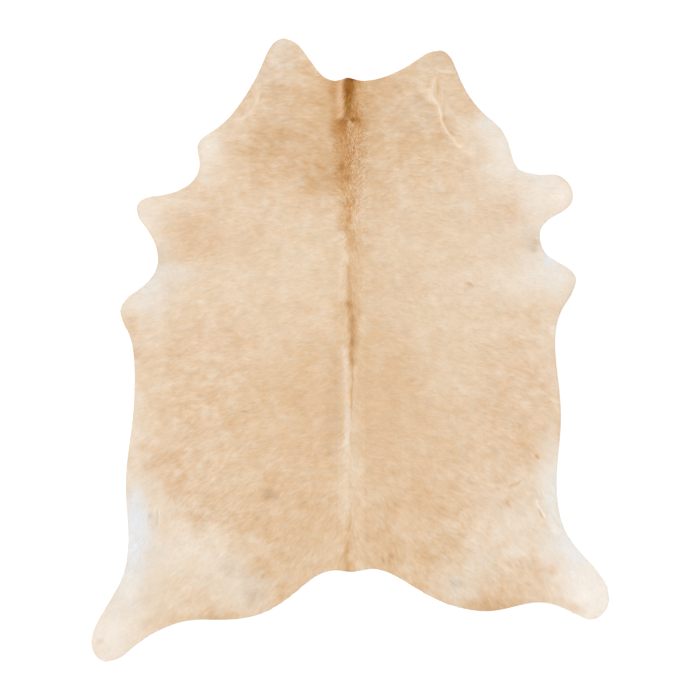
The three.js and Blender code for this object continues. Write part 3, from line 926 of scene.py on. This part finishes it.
def skin_triangles(ring, step):
    """Even triangles inside a ring: their points, with the ring's first, and their corners."""
    low, high = ring.min(axis=0), ring.max(axis=0)
    rise = step * math.sqrt(3) / 2
    rows = []
    for k, y in enumerate(np.arange(low[1] + rise / 2, high[1], rise)):
        x = np.arange(low[0] + (k % 2) * step / 2, high[0], step)
        rows.append(np.column_stack([x, np.full(len(x), y)]))
    grid = np.vstack(rows)
    chart = Chart(RELIEF_STEP)
    room = chart.blur(chart.fill(ring), SKIN_EDGE * step)
    grid = grid[chart.read(room, *grid.T) > SKIN_INNER]
    places = [Vector(p) for p in np.vstack([ring, grid])]
    inside_only = 1
    made = delaunay_2d_cdt(places, [], [list(range(len(ring)))], inside_only, SAME_POINT)
    return np.array([tuple(p) for p in made[0]]), np.array([tuple(f) for f in made[2]])


def on_floor(points):
    """Points on the plane as points in space."""
    return np.column_stack([points, np.zeros(len(points))])


def new_object(name, mesh):
    """An object for a mesh that is already in its place."""
    made = bpy.data.objects.new(name, mesh)
    bpy.context.scene.collection.objects.link(made)
    return made


def new_mesh(name, points, faces):
    """A mesh from points and faces."""
    mesh = bpy.data.meshes.new(name)
    mesh.from_pydata([tuple(p) for p in points], [], [tuple(int(v) for v in f) for f in faces])
    mesh.update()
    return mesh


def paint(mesh, colours):
    """Gives each point of a mesh its own colour of the coat, in linear light."""
    layer = mesh.color_attributes.new("coat", "FLOAT_COLOR", "POINT")
    rgba = np.column_stack([colours, np.ones(len(colours))]).astype(np.float32)
    layer.data.foreach_set("color", rgba.ravel())


def write_vectors(mesh, name, vectors):
    """Gives each point of a mesh a vector, under a name."""
    layer = mesh.attributes.new(name, "FLOAT_VECTOR", "POINT")
    layer.data.foreach_set("vector", vectors.astype(np.float32).ravel())


def new_material(name):
    """A new material, and its tree without nodes."""
    material = bpy.data.materials.new(name)
    material.use_nodes = True
    material.node_tree.nodes.clear()
    return material, material.node_tree


def hair_material(name, roughness, gloss):
    """Short cow hair, clean and combed: a soft gloss over each lock, and fine strands in it."""
    material, tree = new_material(name)
    coat = add(tree, "ShaderNodeAttribute", attribute_name="coat")
    strand = add(tree, "ShaderNodeAttribute", attribute_name="strand")
    fine = add(tree, "ShaderNodeTexNoise", {
        "Vector": strand.outputs["Vector"], "Scale": 1.0, "Detail": 3.0})
    shade = add(tree, "ShaderNodeMapRange", {
        "Value": fine.outputs["Fac"], "From Min": 0.3, "From Max": 0.7, "To Min": 0.96, "To Max": 1.03})
    base = add(tree, "ShaderNodeVectorMath", {
        0: coat.outputs["Color"], "Scale": shade.outputs["Result"]}, operation="SCALE")
    polish = add(tree, "ShaderNodeMapRange", {
        "Value": fine.outputs["Fac"], "To Min": roughness - 0.06, "To Max": roughness + 0.06})
    relief = add(tree, "ShaderNodeBump", {
        "Height": fine.outputs["Fac"], "Strength": 0.25, "Distance": 0.12 * MM})
    surface = add(tree, "ShaderNodeBsdfPrincipled", {
        "Base Color": base.outputs["Vector"],
        "Roughness": polish.outputs["Result"],
        "Normal": relief.outputs["Normal"],
        "Specular IOR Level": gloss,
        "Sheen Weight": 0.05,
        "Sheen Roughness": 0.5,
    })
    add(tree, "ShaderNodeOutputMaterial", {"Surface": surface.outputs["BSDF"]})
    return material


def leather_material():
    """Chrome-tanned cowhide, flesh side, buffed: a pale matt nap with soft, cloudy stains."""
    material, tree = new_material("buffed_leather_flesh_side")
    place = add(tree, "ShaderNodeTexCoord").outputs["Object"]
    cloud = add(tree, "ShaderNodeTexNoise", {
        "Vector": place, "Scale": 4.0, "Detail": 8.0, "Roughness": 0.62})
    nap = add(tree, "ShaderNodeTexNoise", {"Vector": place, "Scale": 420.0, "Detail": 3.0})
    tones = add(tree, "ShaderNodeValToRGB", {"Fac": cloud.outputs["Fac"]})
    for element, (at, tone) in zip(tones.color_ramp.elements, ((0.3, "#CFC3B0"), (0.7, "#DDD4C6"))):
        element.position = at
        element.color = (*to_linear(srgb(tone)), 1.0)
    shade = add(tree, "ShaderNodeMapRange", {"Value": nap.outputs["Fac"], "To Min": 0.9, "To Max": 1.06})
    base = add(tree, "ShaderNodeVectorMath", {
        0: tones.outputs["Color"], "Scale": shade.outputs["Result"]}, operation="SCALE")
    relief = add(tree, "ShaderNodeBump", {
        "Height": nap.outputs["Fac"], "Strength": 0.4, "Distance": 0.3 * MM})
    surface = add(tree, "ShaderNodeBsdfPrincipled", {
        "Base Color": base.outputs["Vector"],
        "Normal": relief.outputs["Normal"],
        "Roughness": 0.88,
        "Sheen Weight": 0.2,
        "Sheen Roughness": 0.6,
    })
    add(tree, "ShaderNodeOutputMaterial", {"Surface": surface.outputs["BSDF"]})
    return material


def build_skin(hide, rim_count, hair_side, flesh_side, materials):
    """The leather with its underhair, as one closed sheet: hair side, cut edge and flesh side."""
    points, corners = hair_side
    under_points, under_corners = flesh_side
    count = len(points)
    upper = np.column_stack([points, hide.height(*points.T) - HAIR_DEPTH])
    places = np.vstack([upper, on_floor(under_points)])
    ring = np.arange(rim_count)
    after = np.roll(ring, -1)
    wall = np.column_stack([ring + count, after + count, after, ring])
    faces = [*corners, *wall, *(under_corners[:, ::-1] + count)]
    mesh = new_mesh("hide_skin", places, faces)
    for material in materials:
        mesh.materials.append(material)
    of_face = np.ones(len(faces), dtype=np.int32)
    of_face[: len(corners)] = 0
    mesh.polygons.foreach_set("material_index", of_face)
    mesh.shade_smooth()
    ends = np.empty(len(mesh.edges) * 2, dtype=np.int32)
    mesh.edges.foreach_get("vertices", ends)
    on_rim = (ends < rim_count) | ((ends >= count) & (ends < count + rim_count))
    same_side = (ends.reshape(-1, 2) < count).sum(axis=1) != 1
    mesh.edges.foreach_set("use_edge_sharp", on_rim.reshape(-1, 2).all(axis=1) & same_side)
    # The underhair gets the coat's colour with painted shade, for the shadow of the locks over it
    shown = np.vstack([hide.colour(*points.T) - UNDERHAIR_PAINTED_SHADE, np.ones((len(under_points), 3))])
    paint(mesh, hair_albedo(shown, HAIR_GLOSS))
    write_vectors(mesh, "strand", places * UNDERHAIR_STRANDS)
    return new_object("hide_skin", mesh)


def root_surface(hide, hair_side, low, high, creases_only):
    """The flat surface between two x that a coat piece grows on, with the hair's lie, and its area."""
    points, corners = hair_side
    middle = points[corners].mean(axis=1)
    chosen = (middle[:, 0] >= low) & (middle[:, 0] < high)
    if creases_only:
        chosen &= hide.creased(*middle.T) > 0.5
    corners = corners[chosen]
    surface = new_object("roots", new_mesh("roots", on_floor(points), corners))
    write_vectors(surface.data, "lie", on_floor(hide.lie(*points.T)))
    a, b, c = (points[corners[:, k]] for k in range(3))
    return surface, float(np.abs(np.cross(b - a, c - a)).sum()) / 2


def lock_object():
    """One hair lock, a metre long and wide: root, tip and two sides that hang a little lower."""
    mesh = new_mesh(
        "lock", [(0, 0, 0), (0, 1, 0), (-0.5, WAIST, -1), (0.5, WAIST, -1)],
        [(0, 1, 2), (0, 3, 1), (0, 2, 3), (1, 3, 2)],
    )
    return new_object("lock", mesh)


def lock_tree():
    """Geometry Nodes that set hair locks on a surface, each turned to its "lie" attribute."""
    tree = bpy.data.node_groups.new("hair_locks", "GeometryNodeTree")
    sockets = (
        ("Surface", "INPUT", "NodeSocketGeometry"),
        ("Lock", "INPUT", "NodeSocketObject"),
        ("Locks per square metre", "INPUT", "NodeSocketFloat"),
        ("Smallest size", "INPUT", "NodeSocketVector"),
        ("Largest size", "INPUT", "NodeSocketVector"),
        ("Least turn", "INPUT", "NodeSocketVector"),
        ("Most turn", "INPUT", "NodeSocketVector"),
        ("Hair", "INPUT", "NodeSocketMaterial"),
        ("Seed", "INPUT", "NodeSocketInt"),
        ("Locks", "OUTPUT", "NodeSocketGeometry"),
    )
    for name, way, kind in sockets:
        tree.interface.new_socket(name=name, in_out=way, socket_type=kind)
    given = add(tree, "NodeGroupInput").outputs
    roots = add(tree, "GeometryNodeDistributePointsOnFaces", {
        "Mesh": given["Surface"],
        "Density": given["Locks per square metre"],
        "Seed": given["Seed"],
    })
    lie = add(tree, "GeometryNodeInputNamedAttribute", {"Name": "lie"}, data_type="FLOAT_VECTOR")
    facing = add(tree, "FunctionNodeAlignRotationToVector", {"Vector": lie.outputs["Attribute"]},
                 axis="Y", pivot_axis="Z")
    turn = add(tree, "FunctionNodeRandomValue", {
        "Min": given["Least turn"], "Max": given["Most turn"], "Seed": given["Seed"],
    }, data_type="FLOAT_VECTOR")
    turned = add(tree, "FunctionNodeRotateRotation", {
        "Rotation": facing.outputs["Rotation"], "Rotate By": turn.outputs["Value"],
    }, rotation_space="LOCAL")
    next_seed = add(tree, "ShaderNodeMath", {0: given["Seed"], 1: 1.0}, operation="ADD")
    size = add(tree, "FunctionNodeRandomValue", {
        "Min": given["Smallest size"], "Max": given["Largest size"], "Seed": next_seed.outputs["Value"],
    }, data_type="FLOAT_VECTOR")
    lock = add(tree, "GeometryNodeObjectInfo", {"Object": given["Lock"], "As Instance": True})
    placed = add(tree, "GeometryNodeInstanceOnPoints", {
        "Points": roots.outputs["Points"],
        "Instance": lock.outputs["Geometry"],
        "Rotation": turned.outputs["Rotation"],
        "Scale": size.outputs["Value"],
    })
    real = add(tree, "GeometryNodeRealizeInstances", {"Geometry": placed.outputs["Instances"]})
    finished = add(tree, "GeometryNodeSetMaterial", {
        "Geometry": real.outputs["Geometry"], "Material": given["Hair"]})
    add(tree, "NodeGroupOutput", {"Locks": finished.outputs["Geometry"]})
    return tree


def grow(name, kind, density, surface, lock, hair, tree, seed):
    """Grows one coat piece on a flat surface, and gives it back as a plain mesh."""
    ways = ("width", "length", "thick")
    values = {
        "Lock": lock,
        "Locks per square metre": density,
        "Smallest size": [kind[w][0] * MM for w in ways],
        "Largest size": [kind[w][1] * MM for w in ways],
        "Least turn": [math.radians(a) for a in (kind["rise"][0], -kind["roll"], -kind["sway"])],
        "Most turn": [math.radians(a) for a in (kind["rise"][1], kind["roll"], kind["sway"])],
        "Hair": hair,
        "Seed": seed,
    }
    grower = surface.modifiers.new("locks", "NODES")
    grower.node_group = tree
    for item in tree.interface.items_tree:
        if item.in_out == "INPUT" and item.name in values:
            grower[item.identifier] = values[item.name]
    evaluated = surface.evaluated_get(bpy.context.evaluated_depsgraph_get())
    mesh = bpy.data.meshes.new_from_object(evaluated)
    surface.modifiers.remove(grower)
    mesh.name = name
    return mesh


def lay_down(mesh, kind, hide):
    """Lays the locks over the hide's relief, and shortens those that reach past its rim."""
    co = np.empty(len(mesh.vertices) * 3, dtype=np.float32)
    mesh.vertices.foreach_get("co", co)
    locks = co.reshape(-1, 4, 3).astype(float)
    root = locks[:, :1].copy()
    arm = locks - root
    reach = np.ones(len(locks))
    for share in CUTS:
        points = root + arm[:, 1:] * reach[:, None, None]
        out = hide.inside(points[..., 0], points[..., 1]).min(axis=1) < RIM_LIMIT
        reach[out] = share
    locks = root + arm * reach[:, None, None]
    ground = hide.height(locks[..., 0], locks[..., 1])
    fall = ground[:, 1] - ground[:, 0]
    tilt = ground[:, 3] - ground[:, 2]
    waist = (ground[:, 2] + ground[:, 3]) / 2 - (ground[:, 0] + WAIST * fall)
    level = ground[:, 0] + np.maximum(waist, 0) - kind["sunk"] * MM
    share = np.array([0, 1, WAIST, WAIST])
    lean = np.array([0, 0, -0.5, 0.5])
    locks[..., 2] += level[:, None] + fall[:, None] * share + tilt[:, None] * lean
    lowest = locks[..., 2].min(axis=1)
    locks[..., 2] += np.maximum(LOWEST - lowest, 0)[:, None]
    mesh.vertices.foreach_set("co", locks.astype(np.float32).ravel())
    return locks


def round_over(mesh, locks, hide):
    """Shading normals that follow the hide's relief, with a little of each lock's tilt and roundness."""
    root, tip, left, right = (locks[:, k] for k in range(4))
    along = tip - root
    along /= np.linalg.norm(along, axis=1)[:, None]
    across = right - left
    across /= np.linalg.norm(across, axis=1)[:, None]
    slope = hide.slope(*locks.mean(axis=1)[:, :2].T)
    relief = np.column_stack([-slope, np.ones(len(locks))])
    up = (1 - OWN_TILT) * relief + OWN_TILT * np.cross(across, along)
    bend, roundness = BEND * along, ROUNDNESS * across
    leaning = np.stack([up - bend, up + bend, up - roundness, up + roundness], axis=1)
    leaning /= np.linalg.norm(leaning, axis=2)[..., None]
    mesh.shade_smooth()
    mesh.normals_split_custom_set_from_vertices(leaning.reshape(-1, 3))


def colour_locks(mesh, kind, locks, hide, rng):
    """Gives each lock the tones of the places it lies on, a little of its own, and a paler tip."""
    count = len(locks)
    tone = hide.colour(locks[..., 0], locks[..., 1])
    spread = hide.unevenness(locks[:, 0, 0], locks[:, 0, 1]) * kind["tone"] / 255
    own = (rng.standard_normal(count) * spread)[:, None, None] * STRAND_TONE
    ends = np.array([-TIP_PALER, TIP_PALER, 0.0, 0.0])[None, :, None] / 255
    written = tone + own * colour_depth(tone) + ends
    paint(mesh, hair_albedo(written, FINISHES[kind["finish"]][1]).reshape(-1, 3))


def mark_strands(mesh, locks, rng):
    """A "strand" coordinate on each lock, in which noise runs as fine hairs from root to tip."""
    count = len(locks)
    strand = np.empty((count, 4, 3), dtype=np.float32)
    strand[..., :2] = LOCK_NOISE
    strand[..., 2] = rng.uniform(0, NOISE_DEPTH, count)[:, None]
    write_vectors(mesh, "strand", strand)


def lay_out_map(mesh, locks):
    """A map on which every lock has a cell of its own, in the order they lie on the hide."""
    count = len(locks)
    rows = math.ceil(count / MAP_COLUMNS)
    order = np.argsort(locks[:, 0, 1])
    cell = np.empty((count, 2))
    for row in range(rows):
        members = order[row * MAP_COLUMNS : (row + 1) * MAP_COLUMNS]
        members = members[np.argsort(locks[members, 0, 0])]
        cell[members, 0] = np.arange(len(members)) / MAP_COLUMNS
        cell[members, 1] = row / rows
    corner = np.array([(0.5, 0.0), (0.5, 1.0), (0.0, WAIST), (1.0, WAIST)])
    places = cell[:, None, :] + corner[None, :, :] / np.array([MAP_COLUMNS, rows])
    used = np.empty(len(mesh.loops), dtype=np.int32)
    mesh.loops.foreach_get("vertex_index", used)
    layer = mesh.uv_layers.new(name="OFBake")
    layer.data.foreach_set("uv", places.reshape(-1, 2)[used].astype(np.float32).ravel())


def build_camera():
    """The photograph's camera, straight above the middle of the hide, with the neck at the top."""
    data = bpy.data.cameras.new("camera")
    data.lens = LENS
    data.sensor_width = SENSOR
    camera = bpy.data.objects.new("camera", data)
    camera.location = (0, 0, CAD_HIGH.z + PHOTO_WIDTH * LENS / SENSOR)
    data.clip_end = 100
    bpy.context.scene.collection.objects.link(camera)
    bpy.context.scene.camera = camera


def build_light(name, aim, spread, strength):
    """A distant soft light that shines along a direction, from a patch of sky so many degrees wide."""
    data = bpy.data.lights.new(name, "SUN")
    data.angle = math.radians(spread)
    data.energy = strength
    light = bpy.data.objects.new(name, data)
    light.rotation_euler = Vector(aim).to_track_quat("-Z", "Y").to_euler()
    bpy.context.scene.collection.objects.link(light)


def build_studio():
    """A pale floor, a pale surround and soft light from above and the upper left."""
    turns = np.linspace(0, math.tau, FLOOR_SIDES, endpoint=False)
    corners = [(FLOOR_RADIUS * math.cos(a), FLOOR_RADIUS * math.sin(a), 0) for a in turns]
    floor = new_object("floor", new_mesh("floor", corners, [range(FLOOR_SIDES)]))
    material = bpy.data.materials.new("studio_floor")
    material.use_nodes = True
    surface = material.node_tree.nodes["Principled BSDF"]
    surface.inputs["Base Color"].default_value = FLOOR_TONE
    surface.inputs["Roughness"].default_value = 0.9
    surface.inputs["Specular IOR Level"].default_value = 0.0
    floor.data.materials.append(material)
    world = bpy.data.worlds.new("surround")
    world.use_nodes = True
    world.node_tree.nodes["Background"].inputs["Color"].default_value = SKY_TONE
    world.node_tree.nodes["Background"].inputs["Strength"].default_value = SKY_STRENGTH
    bpy.context.scene.world = world
    build_light("soft_key", aim=(0.8, -0.45, -1.0), spread=60, strength=1.42)
    bpy.context.scene.view_settings.view_transform = "Standard"


def build_rug():
    """The skin and its coat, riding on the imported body."""
    rng = np.random.default_rng(SEED)
    hide = Hide(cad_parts["hide"], rng)
    hair = {name: hair_material(name, *finish) for name, finish in FINISHES.items()}
    edge = drawn_in(hide.rim, SKIN_INSET)
    hair_side = skin_triangles(edge, SKIN_STEP)
    flesh_side = skin_triangles(edge, FLESH_STEP)
    materials = [hair["cow_underhair"], leather_material()]
    skin = build_skin(hide, len(edge), hair_side, flesh_side, materials)

    lock = lock_object()
    tree = lock_tree()
    pieces = []
    for seed, (name, kind, count, low, high, creases_only) in enumerate(COAT, start=SEED):
        surface, area = root_surface(hide, hair_side, low * MM, high * MM, creases_only)
        mesh = grow(name, kind, count / area, surface, lock, hair[kind["finish"]], tree, seed)
        locks = lay_down(mesh, kind, hide)
        colour_locks(mesh, kind, locks, hide, rng)
        mark_strands(mesh, locks, rng)
        lay_out_map(mesh, locks)
        round_over(mesh, locks, hide)
        pieces.append(new_object(name, mesh))
        bpy.data.objects.remove(surface)
    bpy.data.objects.remove(lock)

    for piece in [skin, *pieces]:
        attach(piece, "root")
    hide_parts("hide")


build_camera()
build_rug()
build_studio()
